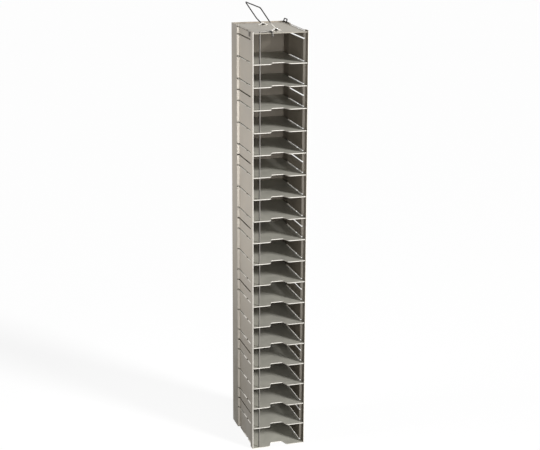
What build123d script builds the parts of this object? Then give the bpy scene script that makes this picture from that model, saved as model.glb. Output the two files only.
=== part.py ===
from build123d import *
import os
from math import atan2, cos, radians, sin, tan

# Freezer storage rack: a tall, narrow sheet-metal tower of open-fronted bays.
# X runs to the right seen from the open front, Y runs from the front to the back, Z is up.
# The origin is the centre of the footprint, on the surface the rack stands on.
# All sizes are in millimetres. A "depth" is measured backwards from the panels' front edges.

# Overall size
rack_width = 96.0
rack_depth = 135.0
sheet = 1.2
fit_gap = 0.25

# Shelf levels
shelf_count = 18
shelf_pitch = 38.1
top_bay_height = 49.8
spare_slot_first = 1.5 * shelf_pitch
spare_slot_step = 3.0 * shelf_pitch

# Side panels: a front strip, a joggled recess and a rear strip, with a bend into the back
front_strip = 13.3
rear_strip = 36.0
joggle = 3.2
joggle_angle = 45.0
rear_bend_radius = 2.5
seam_land = 1.0

# Slots that the shelf tabs seat in, from within the front flank to the end of the rear one
slot_margin = 1.2
slot_height = 2.5

# Shelf tabs, two on each side
front_tab_from_flank = 3.5
front_tab_length = 22.0
tab_spacing = 8.0
rear_tab_from_flank = 3.8
tab_proud = 0.4

# Shelf front edge with its finger notch
front_setback = 0.3
notch_mouth = 32.0
notch_root = 21.5
notch_depth = 15.0
notch_mouth_chamfer = 2.0
notch_root_radius = 4.0
front_corner_chamfer = 1.2

# Top plate
top_recess = 2.0
tongue_bend_radius = 0.2
tongue_from_flank = 9.5
tongue_width = 7.0
tongue_drop = 8.5

# All wires are round; their section has this many sides, which keeps the long bends light
wire_sides = 14

# Locking rod
rod_diameter = 2.5
rod_inset = 13.0
rod_depth = 3.6
rod_hole_gap = 0.3
rod_foot_gap = 0.3
rod_bend = 1.8
rod_leg_length = 19.0
rod_leg_set_back = 6.0
rod_tip_gap = 1.0
rod_tip_shift = 1.2
rod_tip_drop = 5.5

# Bail handle
bail_diameter = 2.0
bail_gap = 0.3
bail_width = 90.0
bail_foot_length = 11.5
bail_foot_bend = 2.5
bail_corner_bend = 4.0
bail_knee_bend = 18.0
bail_lower_arm = 13.4
bail_lower_lean = 45.0
bail_upper_arm = 34.0
bail_upper_lean = 34.7

# Saddles that hold the bail's feet down
saddle_sheet = 0.9
saddle_length = 6.0
saddle_from_arm = 3.6
saddle_width = 16.0
saddle_opening = 8.0
saddle_crown = 4.4
saddle_bend = 0.6

# Wire loop at the rear right corner
loop_diameter = 2.0
loop_length = 16.0
loop_from_back = 3.5
loop_side_gap = 1.0
loop_lean = 2.3
loop_height = 7.5
loop_bend = 2.0

# Values worked out from the sizes above
half_width = rack_width / 2
half_depth = rack_depth / 2
fit_offset = sheet + fit_gap
bend_shift = tan(radians(joggle_angle / 2))
joggle_run = joggle / tan(radians(joggle_angle))
recess_start = front_strip + joggle_run
recess_end = rack_depth - rear_strip - joggle_run
seam_x = half_width - rear_bend_radius - seam_land
shelf_levels = [number * shelf_pitch for number in range(1, shelf_count + 1)]
top_level = shelf_levels[-1] + sheet + top_bay_height
top_face = top_level + sheet
rack_height = top_face + top_recess
top_slot_level = (shelf_count + 1) * shelf_pitch
rod_x = rod_inset - half_width
rod_y = rod_depth - half_depth


def y_at(depth):
    """Y of a place that lies at a depth behind the front edges."""
    return depth - half_depth


def side_contour(offset):
    """Plan points of the right side's joggled wall, moved inwards from its outer face by offset."""
    outer = half_width - offset
    inner = outer - joggle
    turn = offset * bend_shift
    return [
        (outer, y_at(front_strip - turn)),
        (inner, y_at(recess_start - turn)),
        (inner, y_at(recess_end + turn)),
        (outer, y_at(rack_depth - rear_strip + turn)),
    ]


def corner_at(face, x, y):
    """The corner of a plan face that is nearest to a place."""
    return face.vertices().sort_by_distance((x, y, 0))[0]


def rounded_outline(points, radius_of):
    """A closed face through the points, with a corner radius at each point that radius_of names."""
    face = make_face(Polyline(*points, close=True))
    for (x, y), radius in radius_of:
        face = fillet(corner_at(face, x, y), radius)
    return face


def slot_cut(level):
    """The block that cuts one tab slot through the right side panel, its lower edge at level."""
    start = front_strip + slot_margin
    end = rack_depth - rear_strip
    block = Box(joggle + 2 * sheet, end - start, slot_height, align=(Align.CENTER, Align.CENTER, Align.MIN))
    return Pos(half_width - (joggle + sheet) / 2, y_at((start + end) / 2), level) * block


def slot_levels():
    """Lower edges of all tab slots: the floor's, the shelves', the spare ones and the top plate's."""
    levels = [0.0, *shelf_levels, top_slot_level, top_level]
    spare = spare_slot_first
    while spare < top_slot_level:
        levels.append(spare)
        spare += spare_slot_step
    return levels


def right_side_panel():
    """The right side: a joggled sheet with rows of tab slots, bent round to the back panel's seam."""
    skin = side_contour(0)
    inside = side_contour(sheet)
    points = [(half_width, y_at(0)), *skin, (half_width, half_depth), (seam_x, half_depth)]
    points += [(seam_x, half_depth - sheet), (half_width - sheet, half_depth - sheet)]
    points += [*reversed(inside), (half_width - sheet, y_at(0))]
    rounds = [
        ((half_width, half_depth), rear_bend_radius),
        ((half_width - sheet, half_depth - sheet), rear_bend_radius - sheet),
    ]
    panel = extrude(rounded_outline(points, rounds), rack_height)
    return panel - [slot_cut(level) for level in slot_levels()]


def back_panel():
    """The closed back, a flat sheet between the two rear bends."""
    plate = Box(2 * seam_x, sheet, rack_height, align=(Align.CENTER, Align.MAX, Align.MIN))
    return Pos(0, half_depth, 0) * plate


def plate_side(front_edge):
    """Right half of a plate's plan outline, from the points of its front edge to its rear corner."""
    edge = half_width - fit_offset
    inner = edge - joggle
    reach = half_width - joggle + tab_proud
    rear = half_depth - fit_offset
    corner = rear_bend_radius - fit_offset
    wall = side_contour(fit_offset)
    first = y_at(recess_start + front_tab_from_flank)
    middle = first + front_tab_length
    last = y_at(recess_end - rear_tab_from_flank)
    tabs = []
    for start, end in ((first, middle), (middle + tab_spacing, last)):
        tabs += [(inner, start), (reach, start), (reach, end), (inner, end)]
    return [*front_edge, *wall[:2], *tabs, *wall[2:], (edge, rear - corner), (edge - corner, rear)]


def plate_face(right):
    """A plan face from the right half of its outline and the same points mirrored."""
    left = [(-x, y) for x, y in reversed(right)]
    return make_face(Polyline(*right, *left, close=True))


def rod_hole():
    """Plan face of the hole that the locking rod slides through."""
    return Pos(rod_x, rod_y) * Circle(rod_diameter / 2 + rod_hole_gap)


def shelf_plate():
    """One shelf or the floor, its underside on the XY plane, with a finger notch in its front edge."""
    edge = half_width - fit_offset
    front = y_at(front_setback)
    root = (notch_root / 2, y_at(notch_depth))
    mouth = notch_mouth / 2
    slant = atan2(root[1] - front, mouth - root[0])
    front_edge = [
        root,
        (mouth - notch_mouth_chamfer * cos(slant), front + notch_mouth_chamfer * sin(slant)),
        (mouth + notch_mouth_chamfer, front),
        (edge - front_corner_chamfer, front),
        (edge, front + front_corner_chamfer),
    ]
    face = plate_face(plate_side(front_edge))
    for side in (-1, 1):
        face = fillet(corner_at(face, side * root[0], root[1]), notch_root_radius)
    return extrude(face - rod_hole(), sheet)


def locking_tongue():
    """A tongue that leaves the top plate along X and turns down, its outer top corner at the origin."""
    length = fit_gap + 2 * sheet + tongue_bend_radius
    points = [(-length, 0), (0, 0), (0, -tongue_drop)]
    points += [(-sheet, -tongue_drop), (-sheet, -sheet), (-length, -sheet)]
    rounds = [((0, 0), tongue_bend_radius + sheet), ((-sheet, -sheet), tongue_bend_radius)]
    return Rot(90, 0, 0) * extrude(rounded_outline(points, rounds), tongue_width / 2, both=True)


def top_plate():
    """The lid: a tabbed plate with a locking tongue bent down on each side."""
    edge = half_width - fit_offset
    front = y_at(front_setback)
    corner = [(edge - front_corner_chamfer, front), (edge, front + front_corner_chamfer)]
    plate = extrude(plate_face(plate_side(corner)) - rod_hole(), sheet)
    plate = Pos(0, 0, top_level) * plate
    tongue_face = half_width - joggle + fit_gap + sheet
    tongue_y = y_at(recess_start + tongue_from_flank + tongue_width / 2)
    for turn, side in ((0, 1), (180, -1)):
        tongue = Rot(0, 0, turn) * locking_tongue()
        plate = plate + Pos(side * tongue_face, tongue_y, top_face) * tongue
    return plate


def wire(points, radii, diameter):
    """A drawn wire along straight runs joined by arcs, one radius for each inner point."""
    path = FilletPolyline(*points, radius=radii)
    section = Plane(origin=path @ 0, z_dir=path % 0) * RegularPolygon(diameter / 2, wire_sides)
    return sweep(section, path=path)


def locking_rod():
    """The rod down the front of the bays, its top bent along the lid and over its front edge."""
    radius = rod_diameter / 2
    leg_z = top_face + rod_hole_gap + radius
    leg_x = rod_x + rod_leg_length
    leg_y = rod_y + rod_leg_set_back
    tip_x = leg_x + rod_tip_shift
    tip_y = y_at(front_setback) - rod_tip_gap - radius
    points = [
        (rod_x, rod_y, rod_foot_gap),
        (rod_x, rod_y, leg_z),
        (leg_x, leg_y, leg_z),
        (tip_x, tip_y, leg_z),
        (tip_x, tip_y, top_face - rod_tip_drop),
    ]
    return wire(points, [rod_bend] * 3, rod_diameter)


def bail_pivot_height():
    """Height of the bail's hinge axis above the floor."""
    return top_face + bail_gap + bail_diameter / 2


def bail_handle():
    """The carrying bail: a wire with two feet on the hinge axis, leaning to the left."""
    arm = bail_width / 2
    foot = arm - bail_foot_length
    pivot = bail_pivot_height()
    knee_x = -bail_lower_arm * sin(radians(bail_lower_lean))
    knee_z = pivot + bail_lower_arm * cos(radians(bail_lower_lean))
    grip_x = knee_x - bail_upper_arm * sin(radians(bail_upper_lean))
    grip_z = knee_z + bail_upper_arm * cos(radians(bail_upper_lean))
    half = [(0, foot, pivot), (0, arm, pivot), (knee_x, arm, knee_z), (grip_x, arm, grip_z)]
    points = [(x, -y, z) for x, y, z in half] + list(reversed(half))
    bends = [bail_foot_bend, bail_knee_bend, bail_corner_bend]
    return wire(points, bends + bends[::-1], bail_diameter)


def bail_saddle(end):
    """A bridge strap over one foot of the bail, at the front when end is -1 and the back when 1."""
    rise = bail_gap + bail_diameter + bail_gap
    lean = atan2(rise, (saddle_opening - saddle_crown) / 2)
    shift = saddle_sheet * tan(lean / 2)
    inside = [(saddle_width / 2, 0), (saddle_opening / 2, 0), (saddle_crown / 2, rise)]
    outside = [
        (saddle_crown / 2 + shift, rise + saddle_sheet),
        (saddle_opening / 2 + shift, saddle_sheet),
        (saddle_width / 2, saddle_sheet),
    ]
    corners = [inside[1], inside[2], outside[0], outside[1]]
    radii = [saddle_bend + saddle_sheet, saddle_bend, saddle_bend + saddle_sheet, saddle_bend]
    rounds = list(zip(corners, radii))
    rounds += [((-x, z), radius) for (x, z), radius in rounds]
    under = [(-x, z) for x, z in reversed(inside)]
    over = [(-x, z) for x, z in reversed(outside)]
    face = rounded_outline([*inside, *under, *over, *outside], rounds)
    strap = extrude(face, saddle_length / 2, both=True)
    middle = bail_width / 2 - saddle_from_arm - saddle_length / 2
    return Pos(0, end * middle, top_face) * Rot(90, 0, 0) * strap


def corner_wire_loop():
    """A wire staple that stands on the lid at the back and leans out over the right wall's edge."""
    rise = loop_height - loop_diameter / 2
    crown = half_width - fit_offset - loop_side_gap - loop_diameter / 2 + loop_lean
    rear = half_depth - loop_from_back
    front = rear - loop_length
    lower_end = crown - loop_lean * (rise + loop_diameter) / rise
    points = [
        (lower_end, front, top_face - loop_diameter),
        (crown, front, top_face + rise),
        (crown, rear, top_face + rise),
        (lower_end, rear, top_face - loop_diameter),
    ]
    loop = wire(points, [loop_bend] * 2, loop_diameter)
    return split(loop, bisect_by=Plane.XY.offset(top_face), keep=Keep.TOP)


def all_parts():
    """Every sub-part by name, each a solid where it sits in the rack."""
    right = right_side_panel()
    shelf = shelf_plate()
    parts = {
        "left_side_panel": mirror(right, about=Plane.YZ),
        "right_side_panel": right,
        "back_panel": back_panel(),
        "floor_plate": shelf,
    }
    for number, level in enumerate(shelf_levels, start=1):
        parts[f"shelf_{number:02d}"] = Pos(0, 0, level) * shelf
    parts["top_plate"] = top_plate()
    parts["locking_rod"] = locking_rod()
    parts["bail_handle"] = bail_handle()
    parts["front_bail_saddle"] = bail_saddle(-1)
    parts["rear_bail_saddle"] = bail_saddle(1)
    parts["corner_wire_loop"] = corner_wire_loop()
    return parts


os.makedirs("parts", exist_ok=True)
for name, piece in all_parts().items():
    export_step(piece, f"parts/{name}.step")
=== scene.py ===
import math

import bpy
from mathutils import Matrix, Vector


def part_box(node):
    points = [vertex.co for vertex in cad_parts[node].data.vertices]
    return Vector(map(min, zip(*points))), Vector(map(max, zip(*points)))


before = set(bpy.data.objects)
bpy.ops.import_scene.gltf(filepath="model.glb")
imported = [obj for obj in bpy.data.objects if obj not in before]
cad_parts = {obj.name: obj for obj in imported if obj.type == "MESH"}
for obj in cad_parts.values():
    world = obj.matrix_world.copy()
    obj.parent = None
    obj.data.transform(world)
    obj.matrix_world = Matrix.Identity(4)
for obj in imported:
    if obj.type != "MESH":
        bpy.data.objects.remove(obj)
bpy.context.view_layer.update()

# Looks of the freezer storage rack, in metres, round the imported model.
# X runs to the right seen from the open front, Y to the back, Z up; the rack stands on z = 0.

MM = 0.001
panel_low, panel_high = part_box("left_side_panel")
front_y = panel_low.y
wall_top = panel_high.z
lid_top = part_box("top_plate")[1].z
rack_centre = Vector((0.0, 0.0, wall_top / 2))

# Camera, fitted to the rack's outline in the photograph
camera_place = Vector((-0.6223, -2.0766, 1.0177))
camera_turn = -0.2924
camera_tilt = -0.2807
camera_roll = -0.0041
camera_lens = 85.75
camera_sensor = 36.0

# A pale surround and a white floor: what they give as light, and how they look themselves
surround_strength = 0.28
floor_size = 60.0
floor_bounce = 0.32
floor_seen = 0.92
floor_glow = 0.88

# The key, a broad distant lamp from the front right
key_turn = 0.646
key_height = 0.454
key_spread = 0.20
key_strength = 4.7

# Softboxes at the front and the left
front_box_place = Vector((-0.35, -2.2, 0.9))
front_box_size = (0.8, 0.8)
front_box_power = 16.0
left_box_place = Vector((-0.8, 0.0, 0.5))
left_box_target = Vector((0.0, 0.0, 0.42))
left_box_size = (0.3, 0.4)
left_box_power = 2.0
left_box_spread = 1.9

# Colours, linear
steel_colour = (0.30, 0.267, 0.222)
shelf_colour = (0.43, 0.42, 0.37)
# The floor plate's steel, painted lighter than the shelves' as painted bounce light from the white floor
# in front
floor_plate_bounce_colour = (0.50, 0.49, 0.43)
lid_colour = (0.33, 0.305, 0.258)
saddle_colour = (0.80, 0.78, 0.74)
rod_colour = (0.27, 0.255, 0.235)
# The bail's colour, seen only in the painted highlight on its front leg
bail_highlight_colour = (0.42, 0.405, 0.375)
# Painted dark: painted shade on the rod's left side, and a painted dark reflection along the bail
painted_dark_colour = (0.010, 0.009, 0.008)
# Painted highlight on the front edges of walls and plates, on the walls' flanks and on the lower tabs
edge_highlight_colour = (0.70, 0.67, 0.62)
# Painted shade in the walls' slots, on the side edges of the plates and the lid, and on the tabs without
# a highlight
edge_shade_colour = (0.12, 0.105, 0.085)
# Painted shade on the walls' rear strips and towards their lower ends
wall_shade_colour = (0.118, 0.102, 0.075)
white = (1.0, 1.0, 1.0, 1.0)

# Surfaces
sheet_metallic = 0.3
sheet_specular = 0.25
sheet_roughness = 0.45
sheet_bump = 0.25
saddle_metallic = 0.85
saddle_roughness = 0.24
rod_metallic = 0.4
rod_roughness = 0.32
bail_metallic = 0.0
bail_roughness = 0.45
bail_specular = 0.15
wire_specular = 0.5
wire_bump = 0.2
bump_depth = 0.02 * MM

# Noises of the sheets and the wires, in cells per metre along X, Y and Z
wall_grain = (1500.0, 1500.0, 12.0)
plate_grain = (14.0, 1500.0, 1500.0)
smudge_cells = (24.0, 24.0, 17.0)
speck_cells = (420.0, 420.0, 420.0)
patch_cells = (60.0, 60.0, 45.0)
band_cells = (900.0, 900.0, 900.0)

# Detail of the noises, their roughness, and how far the smudges are warped
grain_detail = 4.0
smudge_detail = 5.0
speck_detail = 2.0
wire_detail = 3.0
rough_noise = 0.6
plain_noise = 0.55
smudge_warp = 0.6

# The part of each noise's values over which a tone or the roughness changes
smudge_span = (0.32, 0.68)
grain_span = (0.3, 0.7)
speck_span = (0.62, 0.78)
patch_span = (0.35, 0.65)
band_span = (0.55, 0.7)
gloss_span = (0.3, 0.7)

# Tones as factors of the plain colour, and how much of them shows at most
smudge_dark = 0.92
smudge_light = 1.06
grain_light = 1.25
grain_share = 0.16
speck_dark = 0.7
speck_share = 0.2
patch_dark = 0.85
patch_light = 1.12
band_dark = 0.7
band_share = 0.25

# How far the roughness strays from its plain value, and by how much the grain moves it
gloss_below = 0.05
sheet_gloss_above = 0.06
wire_gloss_above = 0.07
grain_gloss = 0.03

# A face's normal has a component along an axis: from the first value it begins to count as looking
# that way, and at the second it counts in full
squarely = (0.75, 0.9)
partly = (0.25, 0.6)
slanting = (0.45, 0.65)
flank_span = (0.3, 0.6)
rod_left_span = (-0.5, 0.1)

# Where the painted highlight on the walls' front edges ends, and where their slots' walls give way to the
# top edge
front_edge_span = (front_y + 0.8 * MM, front_y + 1.2 * MM)
top_edge_span = (wall_top - 0.5 * MM, wall_top - 0.2 * MM)

# The walls' front-facing flanks get a painted highlight, and their rear strips and lower ends painted
# shade
flank_highlight = 0.22
rear_strip_start = front_y + 99.0 * MM
rear_strip_blur = 1.5 * MM
rear_shade = 0.34
shade_height = 0.45
foot_shade = 0.74
flank_shade = 0.12

# The painted highlight on a plate's front edges ends here, and its tabs start behind it
notch_end = front_y + 16.5 * MM
notch_span = (notch_end, notch_end + 1.0 * MM)

# Distances from the middle at which a plate's tabs enter the walls, and at which their ends begin
wall_span = (43.6 * MM, 43.8 * MM)
tab_end_span = (44.9 * MM, 45.2 * MM)

# The lower tabs get a painted highlight in their front part; the upper ones, and the rest of the lower
# ones, painted shade
tab_highlight_span = (0.24, 0.40)
tab_highlight_depth = front_y + 68.0 * MM
tab_highlight_blur = 3.0 * MM
tab_shade = 0.6

# The rod gets painted shade on its left side, and weaker painted darkness all round above the lid
rod_top_span = (lid_top - 1.0 * MM, lid_top + 0.5 * MM)
rod_top_shade = 0.35

# The bail's front leg gets a painted highlight between these heights; the rest of the bail, its rear leg
# too, is painted dark
bright_leg_low = lid_top + 4.0 * MM
bright_leg_high = lid_top + 14.0 * MM
bright_leg_blur_low = 1.0 * MM
bright_leg_blur_high = 3.0 * MM
rear_leg_span = (-10.0 * MM, 10.0 * MM)

# Softened edges: bends between sheets' faces, sheared edges, and the lid's small bends
bend_width = 0.25 * MM
cut_width = 0.12 * MM
lid_bend_width = 0.08 * MM
bend_angle = 0.6
cut_angle = 1.2
bevel_segments = 3
weld_distance = 0.001 * MM


def node_tree(material):
    """An empty node tree for a material, with its output node."""
    material.use_nodes = True
    tree = material.node_tree
    tree.nodes.clear()
    return tree, tree.nodes.new("ShaderNodeOutputMaterial")


def maths(tree, operation, first, second=None, clamp=False):
    """A Math node's output; each value is a number or another node's output."""
    node = tree.nodes.new("ShaderNodeMath")
    node.operation = operation
    node.use_clamp = clamp
    for socket, value in zip(node.inputs, (first, second)):
        if value is None:
            continue
        if isinstance(value, (int, float)):
            socket.default_value = value
        else:
            tree.links.new(value, socket)
    return node.outputs[0]


def noise(tree, cells, detail, roughness=plain_noise, distortion=0.0):
    """Noise in the piece's own frame, with its number of cells per metre along each axis."""
    coordinates = tree.nodes.new("ShaderNodeTexCoord")
    mapping = tree.nodes.new("ShaderNodeMapping")
    mapping.inputs["Scale"].default_value = cells
    texture = tree.nodes.new("ShaderNodeTexNoise")
    texture.inputs["Scale"].default_value = 1.0
    texture.inputs["Detail"].default_value = detail
    texture.inputs["Roughness"].default_value = roughness
    texture.inputs["Distortion"].default_value = distortion
    tree.links.new(coordinates.outputs["Object"], mapping.inputs["Vector"])
    tree.links.new(mapping.outputs["Vector"], texture.inputs["Vector"])
    return texture.outputs["Fac"]


def ramp(tree, value, span, from_value=0.0, to_value=1.0):
    """The value's span mapped smoothly onto from_value..to_value."""
    node = tree.nodes.new("ShaderNodeMapRange")
    node.interpolation_type = "SMOOTHSTEP"
    node.inputs["From Min"].default_value = span[0]
    node.inputs["From Max"].default_value = span[1]
    node.inputs["To Min"].default_value = from_value
    node.inputs["To Max"].default_value = to_value
    tree.links.new(value, node.inputs["Value"])
    return node.outputs["Result"]


def around(middle, blur):
    """The span that reaches as far as the blur on both sides of its middle."""
    return (middle - blur, middle + blur)


def mixed(tree, factor, first, second):
    """Two colours mixed; each is a tuple or another node's output."""
    node = tree.nodes.new("ShaderNodeMix")
    node.data_type = "RGBA"
    tree.links.new(factor, node.inputs["Factor"])
    for socket, value in ((node.inputs[6], first), (node.inputs[7], second)):
        if isinstance(value, tuple):
            socket.default_value = (*value, 1.0)
        else:
            tree.links.new(value, socket)
    return node.outputs[2]


def shade(colour, factor):
    """A colour made lighter or darker."""
    return tuple(min(1.0, part * factor) for part in colour)


def split_coordinates(tree, kind):
    """The components of a texture coordinate in the piece's own frame, so that they move with it."""
    coordinates = tree.nodes.new("ShaderNodeTexCoord")
    split = tree.nodes.new("ShaderNodeSeparateXYZ")
    tree.links.new(coordinates.outputs[kind], split.inputs[0])
    return split.outputs


def place(tree, axis):
    """Where the surface is along an axis."""
    return split_coordinates(tree, "Object")[axis]


def normal(tree, axis):
    """How far the surface looks along an axis, from -1 to 1."""
    return split_coordinates(tree, "Normal")[axis]


def against(tree, axis, span, most=1.0):
    """Nought to most on the faces that look against an axis."""
    return ramp(tree, maths(tree, "MULTIPLY", normal(tree, axis), -1.0), span, 0.0, most)


def level(tree):
    """One on upper and lower faces."""
    return ramp(tree, maths(tree, "ABSOLUTE", normal(tree, "Z")), squarely)


def upright(tree):
    """One on faces that look sideways."""
    return ramp(tree, maths(tree, "ABSOLUTE", normal(tree, "Z")), partly, 1.0, 0.0)


def both(tree, first, second):
    """Where two masks meet."""
    return maths(tree, "MULTIPLY", first, second)


def either(tree, first, second):
    """Where at least one of two masks is."""
    return maths(tree, "MAXIMUM", first, second)


def front_edge_mask(tree):
    """The front edges of the walls, where a highlight is painted: faces that look forwards within a
    millimetre of the front.
    """
    at_front = ramp(tree, place(tree, "Y"), front_edge_span, 1.0, 0.0)
    return both(tree, against(tree, "Y", squarely), at_front)


def flank_highlight_mask(tree):
    """The slanting flanks that face the front left, where a faint highlight is painted."""
    return both(tree, against(tree, "X", slanting), against(tree, "Y", slanting, flank_highlight))


def wall_bright_mask(tree):
    """Where highlights are painted on a wall: its front edge, and less so its slanting flanks."""
    return either(tree, front_edge_mask(tree), flank_highlight_mask(tree))


def slot_wall_mask(tree):
    """The upper and lower walls of the tab slots, where shade is painted."""
    below_top = ramp(tree, place(tree, "Z"), top_edge_span, 1.0, 0.0)
    return both(tree, level(tree), below_top)


def wall_shade_mask(tree):
    """Painted shade on the walls' rear strips and lower ends, darker towards the bottom, though less on
    the slanting flanks.
    """
    flat = ramp(tree, maths(tree, "ABSOLUTE", normal(tree, "Y")), flank_span, 1.0, flank_shade)
    rear_span = around(rear_strip_start, rear_strip_blur)
    rear = ramp(tree, place(tree, "Y"), rear_span, 0.0, rear_shade)
    lower = ramp(tree, place(tree, "Z"), (0.0, shade_height), foot_shade, 0.0)
    return maths(tree, "ADD", rear, both(tree, lower, flat), clamp=True)


def plate_front_mask(tree):
    """The sheared front edge of a flat plate and the walls of its finger notch, where a highlight is
    painted.
    """
    at_front = ramp(tree, place(tree, "Y"), notch_span, 1.0, 0.0)
    return both(tree, upright(tree), at_front)


def plate_side_mask(tree):
    """The edges of a plate behind its notch. Shade is painted on them, on the lid all along and on the
    other plates between the tabs.
    """
    return both(tree, upright(tree), ramp(tree, place(tree, "Y"), notch_span))


def tab_end_mask(tree):
    """The ends of a plate's tabs, outside the walls."""
    outside = ramp(tree, maths(tree, "ABSOLUTE", place(tree, "X")), tab_end_span)
    return both(tree, plate_side_mask(tree), outside)


def tab_top_mask(tree):
    """The upper and lower faces of a plate's tabs, in and outside the slots."""
    behind = ramp(tree, place(tree, "Y"), notch_span)
    beyond = ramp(tree, maths(tree, "ABSOLUTE", place(tree, "X")), wall_span)
    return both(tree, both(tree, level(tree), behind), beyond)


def tab_highlight_mask(tree):
    """One on the front part of the lower tabs, where a highlight is painted, nought on the rest."""
    low = ramp(tree, place(tree, "Z"), tab_highlight_span, 1.0, 0.0)
    near = ramp(tree, place(tree, "Y"), around(tab_highlight_depth, tab_highlight_blur), 1.0, 0.0)
    return both(tree, low, near)


def plate_bright_mask(tree):
    """Where highlights are painted on a plate: its front edge, its notch and the front part of the lower
    tabs.
    """
    tabs = either(tree, tab_end_mask(tree), tab_top_mask(tree))
    return either(tree, plate_front_mask(tree), both(tree, tabs, tab_highlight_mask(tree)))


def plate_shade_mask(tree):
    """Painted shade on a plate: its side edges between the tabs, and the tabs outside their painted
    highlight.
    """
    sides = maths(tree, "SUBTRACT", plate_side_mask(tree), tab_end_mask(tree))
    highlighted = maths(tree, "MULTIPLY", tab_highlight_mask(tree), tab_shade)
    kept = maths(tree, "SUBTRACT", tab_shade, highlighted)
    return either(tree, sides, both(tree, tab_top_mask(tree), kept))


def rod_shade_mask(tree):
    """Painted shade on the rod's left side, and weaker painted darkness on its top above the lid."""
    left = ramp(tree, normal(tree, "X"), rod_left_span, 1.0, 0.0)
    above_lid = ramp(tree, place(tree, "Z"), rod_top_span, 0.0, rod_top_shade)
    return either(tree, left, above_lid)


def bail_painted_dark_mask(tree):
    """The bail is painted dark all along, a painted dark reflection, apart from the lower end of its
    front leg, which gets a painted highlight.
    """
    foot = ramp(tree, place(tree, "Z"), around(bright_leg_low, bright_leg_blur_low), 1.0, 0.0)
    above = ramp(tree, place(tree, "Z"), around(bright_leg_high, bright_leg_blur_high))
    rear = ramp(tree, place(tree, "Y"), rear_leg_span)
    return either(tree, either(tree, foot, above), rear)


def join_surface(tree, output, tone, gloss, height, bump_strength, metallic, specular):
    """A shader with a colour, a roughness and a bump, joined to the material's output."""
    bump = tree.nodes.new("ShaderNodeBump")
    bump.inputs["Strength"].default_value = bump_strength
    bump.inputs["Distance"].default_value = bump_depth
    tree.links.new(height, bump.inputs["Height"])
    shader = tree.nodes.new("ShaderNodeBsdfPrincipled")
    shader.inputs["Metallic"].default_value = metallic
    shader.inputs["Specular IOR Level"].default_value = specular
    tree.links.new(tone, shader.inputs["Base Color"])
    tree.links.new(gloss, shader.inputs["Roughness"])
    tree.links.new(bump.outputs["Normal"], shader.inputs["Normal"])
    tree.links.new(shader.outputs["BSDF"], output.inputs["Surface"])


def sheet_steel(name, colour, grain, bright=None, dark=None, shaded=None):
    """Rolled satin stainless with grain along one axis, soft smudges, and masks for painted highlights
    and painted shade.
    """
    material = bpy.data.materials.new(name)
    tree, output = node_tree(material)
    fine = noise(tree, grain, grain_detail, rough_noise)
    smudges = noise(tree, smudge_cells, smudge_detail, rough_noise, smudge_warp)
    specks = noise(tree, speck_cells, speck_detail)
    smudged = ramp(tree, smudges, smudge_span)
    tone = mixed(tree, smudged, shade(colour, smudge_dark), shade(colour, smudge_light))
    tone = mixed(tree, ramp(tree, fine, grain_span, 0.0, grain_share), tone, shade(colour, grain_light))
    tone = mixed(tree, ramp(tree, specks, speck_span, 0.0, speck_share), tone, shade(colour, speck_dark))
    # Painted wall shade, painted highlights and painted edge shade, each where its mask is
    for mask, mask_colour in ((shaded, wall_shade_colour), (bright, edge_highlight_colour), (dark, edge_shade_colour)):
        if mask:
            tone = mixed(tree, mask(tree), tone, mask_colour)
    smoothest = sheet_roughness - gloss_below
    gloss = ramp(tree, smudges, gloss_span, smoothest, sheet_roughness + sheet_gloss_above)
    gloss = maths(tree, "ADD", gloss, ramp(tree, fine, gloss_span, -grain_gloss, grain_gloss))
    join_surface(tree, output, tone, gloss, fine, sheet_bump, sheet_metallic, sheet_specular)
    return material


def drawn_wire(name, colour, roughness, metallic, specular=wire_specular, painted_dark=None):
    """Drawn stainless wire or pressed strap: faint darker bands and patches, and a painted dark tone by a
    mask, shade on the rod and a dark reflection on the bail.
    """
    material = bpy.data.materials.new(name)
    tree, output = node_tree(material)
    bands = noise(tree, band_cells, wire_detail)
    patches = noise(tree, patch_cells, wire_detail)
    patched = ramp(tree, patches, patch_span)
    tone = mixed(tree, patched, shade(colour, patch_dark), shade(colour, patch_light))
    tone = mixed(tree, ramp(tree, bands, band_span, 0.0, band_share), tone, shade(colour, band_dark))
    if painted_dark:
        tone = mixed(tree, painted_dark(tree), tone, painted_dark_colour)
    gloss = ramp(tree, patches, gloss_span, roughness - gloss_below, roughness + wire_gloss_above)
    join_surface(tree, output, tone, gloss, bands, wire_bump, metallic, specular)
    return material


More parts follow.
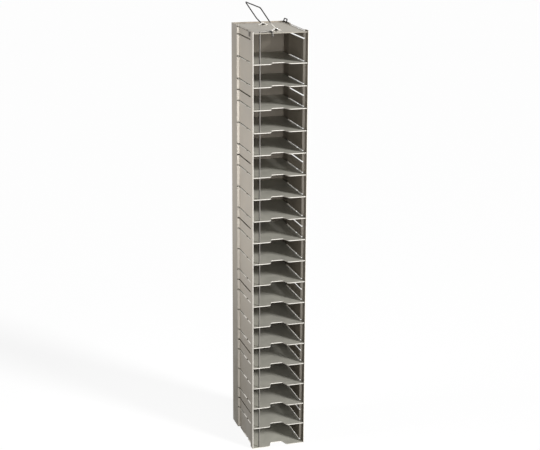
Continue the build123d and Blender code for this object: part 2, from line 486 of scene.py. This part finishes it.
def softened_edges():
    """A node group that welds the CAD mesh and weighs its bends and sheared edges for the bevel."""
    group = bpy.data.node_groups.new("softened_edges", "GeometryNodeTree")
    group.interface.new_socket("Geometry", in_out="INPUT", socket_type="NodeSocketGeometry")
    group.interface.new_socket("Geometry", in_out="OUTPUT", socket_type="NodeSocketGeometry")
    source = group.nodes.new("NodeGroupInput")
    weld = group.nodes.new("GeometryNodeMergeByDistance")
    weld.inputs["Distance"].default_value = weld_distance
    plain = group.nodes.new("GeometryNodeSetMeshNormal")
    plain.mode = "SHARPNESS"
    plain.inputs["Remove Custom"].default_value = True
    angle = group.nodes.new("GeometryNodeInputMeshEdgeAngle").outputs["Unsigned Angle"]
    bends = maths(group, "GREATER_THAN", angle, bend_angle)
    cuts = maths(group, "GREATER_THAN", angle, cut_angle)
    less_on_cuts = maths(group, "MULTIPLY", cuts, 1 - cut_width / bend_width)
    store = group.nodes.new("GeometryNodeStoreNamedAttribute")
    store.data_type = "FLOAT"
    store.domain = "EDGE"
    store.inputs["Name"].default_value = "bevel_weight_edge"
    result = group.nodes.new("NodeGroupOutput")
    group.links.new(source.outputs[0], weld.inputs["Geometry"])
    group.links.new(weld.outputs["Geometry"], plain.inputs["Mesh"])
    group.links.new(plain.outputs["Mesh"], store.inputs["Geometry"])
    group.links.new(maths(group, "SUBTRACT", bends, less_on_cuts), store.inputs["Value"])
    group.links.new(store.outputs["Geometry"], result.inputs[0])
    return group


def soften(piece, group, width):
    """Small rounds on a CAD node's edges, as modifiers."""
    weigh = piece.modifiers.new("weigh", "NODES")
    weigh.node_group = group
    bevel = piece.modifiers.new("soften", "BEVEL")
    bevel.limit_method = "WEIGHT"
    bevel.width = width
    bevel.segments = bevel_segments
    bevel.use_clamp_overlap = False
    bevel.harden_normals = True


def dress(name, material):
    """Gives a CAD node one material."""
    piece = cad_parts[name]
    piece.data.materials.clear()
    piece.data.materials.append(material)


def wire_materials():
    """The materials of the saddles, the rod, and the bail with the small wire, by the node's name."""
    saddles = drawn_wire("saddle_steel", saddle_colour, saddle_roughness, saddle_metallic)
    rod = drawn_wire("rod_steel", rod_colour, rod_roughness, rod_metallic, painted_dark=rod_shade_mask)
    bail_surface = (bail_roughness, bail_metallic, bail_specular)
    # The bail is painted dark, with a painted highlight on its front leg
    bail = drawn_wire("bail_steel", bail_highlight_colour, *bail_surface, bail_painted_dark_mask)
    return {
        "front_bail_saddle": saddles,
        "rear_bail_saddle": saddles,
        "locking_rod": rod,
        "bail_handle": bail,
        "corner_wire_loop": bail,
    }


def sheet_materials():
    """The materials of the walls, the back, the floor and the lid, by the node's name."""
    wall_masks = (wall_bright_mask, slot_wall_mask, wall_shade_mask)
    walls = sheet_steel("panel_steel", steel_colour, wall_grain, *wall_masks)
    back = sheet_steel("back_steel", steel_colour, wall_grain)
    # The floor plate's colour carries painted bounce light
    base = sheet_steel("floor_steel", floor_plate_bounce_colour, plate_grain, plate_bright_mask, plate_shade_mask)
    # The lid's side edges get painted shade
    lid = sheet_steel("lid_steel", lid_colour, plate_grain, dark=plate_side_mask)
    return {
        "left_side_panel": walls,
        "right_side_panel": walls,
        "back_panel": back,
        "floor_plate": base,
        "top_plate": lid,
    }


def dress_rack():
    """Materials and softened edges for every CAD node."""
    shelves = sheet_steel("shelf_steel", shelf_colour, plate_grain, plate_bright_mask, plate_shade_mask)
    material_of = {**sheet_materials(), **wire_materials()}
    group = softened_edges()
    for name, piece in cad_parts.items():
        dress(name, material_of.get(name, shelves))
        soften(piece, group, lid_bend_width if name == "top_plate" else bend_width)


def background_seen(tree):
    """One where a ray from the camera, a reflection or a transmission meets the background."""
    path = tree.nodes.new("ShaderNodeLightPath")
    seen = either(tree, path.outputs["Is Camera Ray"], path.outputs["Is Glossy Ray"])
    return either(tree, seen, path.outputs["Is Transmission Ray"])


def surround():
    """The pale world: white where it is seen, softer where it lights."""
    world = bpy.data.worlds.new("surround")
    world.use_nodes = True
    bpy.context.scene.world = world
    tree = world.node_tree
    strength = ramp(tree, background_seen(tree), (0.0, 1.0), surround_strength, 1.0)
    tree.nodes["Background"].inputs["Color"].default_value = white
    tree.links.new(strength, tree.nodes["Background"].inputs["Strength"])


def floor_white():
    """The floor's material: a soft glow where it is seen, a plain pale grey where it lights."""
    material = bpy.data.materials.new("floor_white")
    tree, output = node_tree(material)
    seen = background_seen(tree)
    diffuse = tree.nodes.new("ShaderNodeBsdfDiffuse")
    tree.links.new(ramp(tree, seen, (0.0, 1.0), floor_bounce, floor_seen), diffuse.inputs["Color"])
    glow = tree.nodes.new("ShaderNodeEmission")
    glow.inputs["Strength"].default_value = 1.0
    blend = tree.nodes.new("ShaderNodeMixShader")
    tree.links.new(maths(tree, "MULTIPLY", seen, floor_glow), blend.inputs["Fac"])
    tree.links.new(diffuse.outputs["BSDF"], blend.inputs[1])
    tree.links.new(glow.outputs["Emission"], blend.inputs[2])
    tree.links.new(blend.outputs["Shader"], output.inputs["Surface"])
    return material


def studio_floor():
    """A white floor that keeps the rack's shadow."""
    half = floor_size / 2
    corners = [(-half, -half, 0.0), (half, -half, 0.0), (half, half, 0.0), (-half, half, 0.0)]
    mesh = bpy.data.meshes.new("studio_floor")
    mesh.from_pydata(corners, [], [(0, 1, 2, 3)])
    mesh.materials.append(floor_white())
    floor = bpy.data.objects.new("studio_floor", mesh)
    bpy.context.scene.collection.objects.link(floor)


def key_light():
    """A broad distant lamp from the front right, above eye level."""
    light = bpy.data.lights.new("key_light", "SUN")
    light.energy = key_strength
    light.angle = key_spread
    lamp = bpy.data.objects.new("key_light", light)
    flat = math.cos(key_height)
    towards = Vector((math.sin(key_turn) * flat, -math.cos(key_turn) * flat, math.sin(key_height)))
    lamp.rotation_euler = towards.to_track_quat("Z", "Y").to_euler()
    bpy.context.scene.collection.objects.link(lamp)


def softbox(name, stand, target, size, power):
    """A rectangular studio lamp that looks at a target."""
    light = bpy.data.lights.new(name, "AREA")
    light.shape = "RECTANGLE"
    light.size, light.size_y = size
    light.energy = power
    lamp = bpy.data.objects.new(name, light)
    lamp.location = stand
    lamp.rotation_euler = (target - stand).to_track_quat("-Z", "Y").to_euler()
    lamp.visible_camera = False
    bpy.context.scene.collection.objects.link(lamp)
    return light


def studio_lights():
    """The key, and softboxes at the front and the left."""
    key_light()
    softbox("front_softbox", front_box_place, rack_centre, front_box_size, front_box_power)
    left = softbox("left_softbox", left_box_place, left_box_target, left_box_size, left_box_power)
    left.spread = left_box_spread


def studio_camera():
    """The camera, fitted to the rack's outline."""
    data = bpy.data.cameras.new("camera")
    data.lens = camera_lens
    data.sensor_width = camera_sensor
    data.sensor_fit = "HORIZONTAL"
    camera = bpy.data.objects.new("camera", data)
    turn = Matrix.Rotation(camera_turn, 4, "Z") @ Matrix.Rotation(camera_tilt, 4, "X")
    turn = turn @ Matrix.Rotation(camera_roll, 4, "Y") @ Matrix.Rotation(math.pi / 2, 4, "X")
    camera.matrix_world = Matrix.Translation(camera_place) @ turn
    bpy.context.scene.collection.objects.link(camera)
    bpy.context.scene.camera = camera


dress_rack()
studio_floor()
surround()
studio_lights()
studio_camera()

scene = bpy.context.scene
scene.view_settings.view_transform = "Standard"
